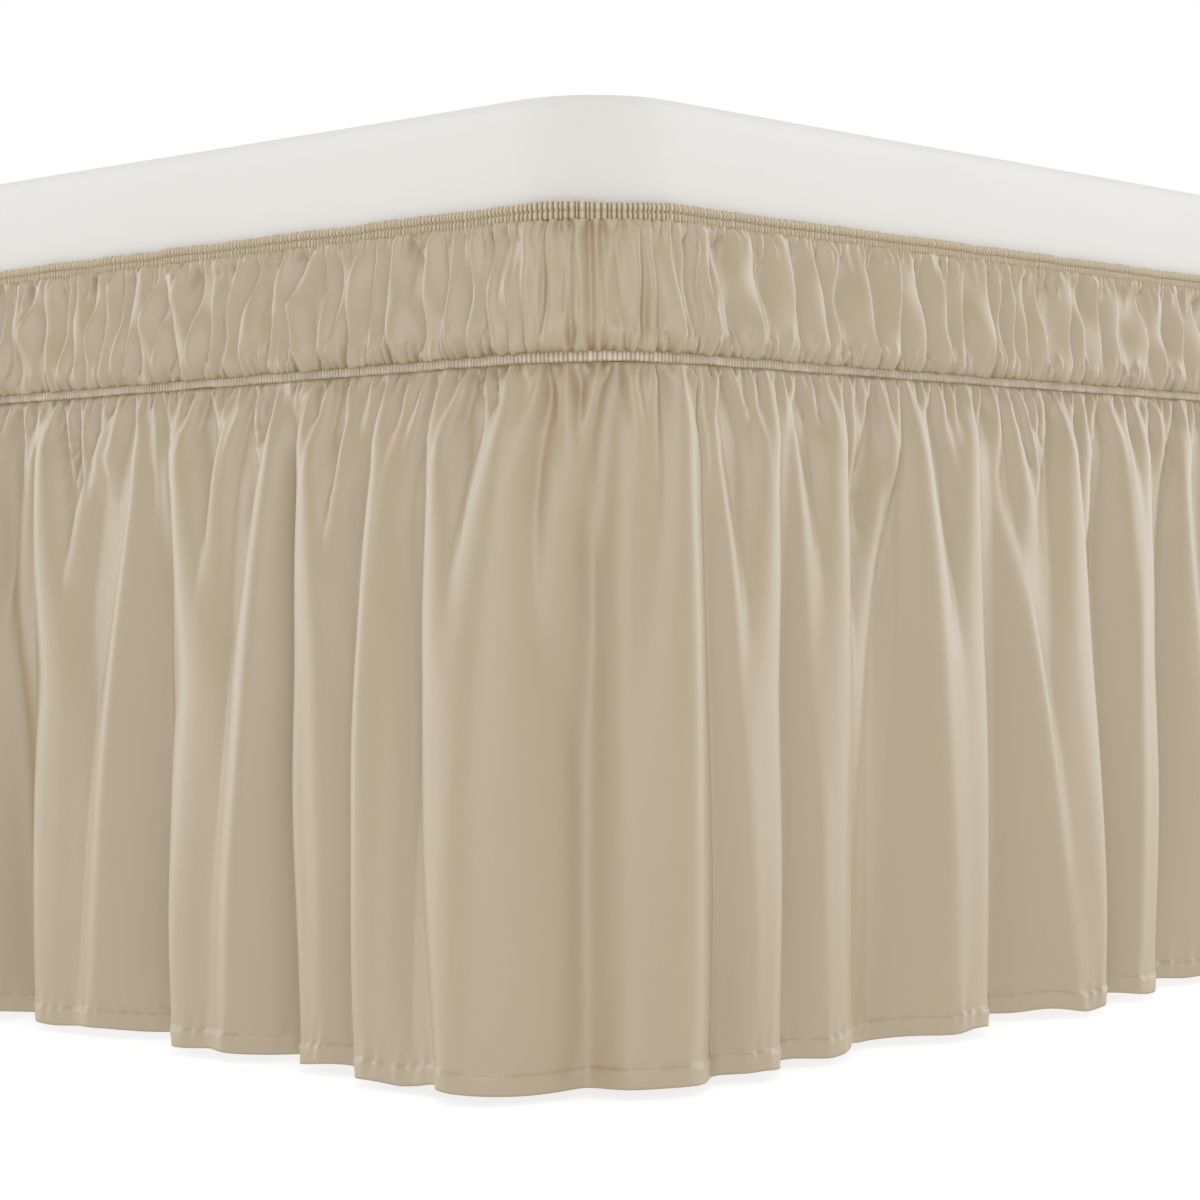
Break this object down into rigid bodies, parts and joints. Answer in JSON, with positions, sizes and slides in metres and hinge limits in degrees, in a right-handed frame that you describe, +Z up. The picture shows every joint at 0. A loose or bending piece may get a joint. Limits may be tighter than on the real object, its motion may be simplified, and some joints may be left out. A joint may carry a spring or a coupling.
{
  "type": "bed skirt on bed base",
  "caption": "Gathered elastic bed skirt with a ruched upper band and a long folded drop, stretched around a plain white bed base on round legs.",
  "frame": {"origin": "on the floor under the middle of the bed", "axes": "+Z up, +Y along the bed's length towards the head end, +X to the side of the near corner"},
  "size_m": [1.0618, 2.002, 0.463],
  "materials": {
    "skirt_cloth": "soft satin brushed microfibre, beige",
    "elastic": "matt ribbed woven elastic, beige",
    "base_cover": "matt smooth white cotton",
    "leg_wood": "satin clear lacquer"
  },
  "bodies": {
    "root": {"bed_base": "base_cover", "leg_foot_right": "leg_wood", "leg_foot_left": "leg_wood", "leg_head_right": "leg_wood", "leg_head_left": "leg_wood", "top_elastic": "elastic", "middle_elastic": "elastic", "band_foot": "skirt_cloth", "band_right": "skirt_cloth", "band_head": "skirt_cloth", "band_left": "skirt_cloth", "drop_foot": "skirt_cloth", "drop_right": "skirt_cloth", "drop_head": "skirt_cloth", "drop_left": "skirt_cloth"}
  },
  "joints": []
}
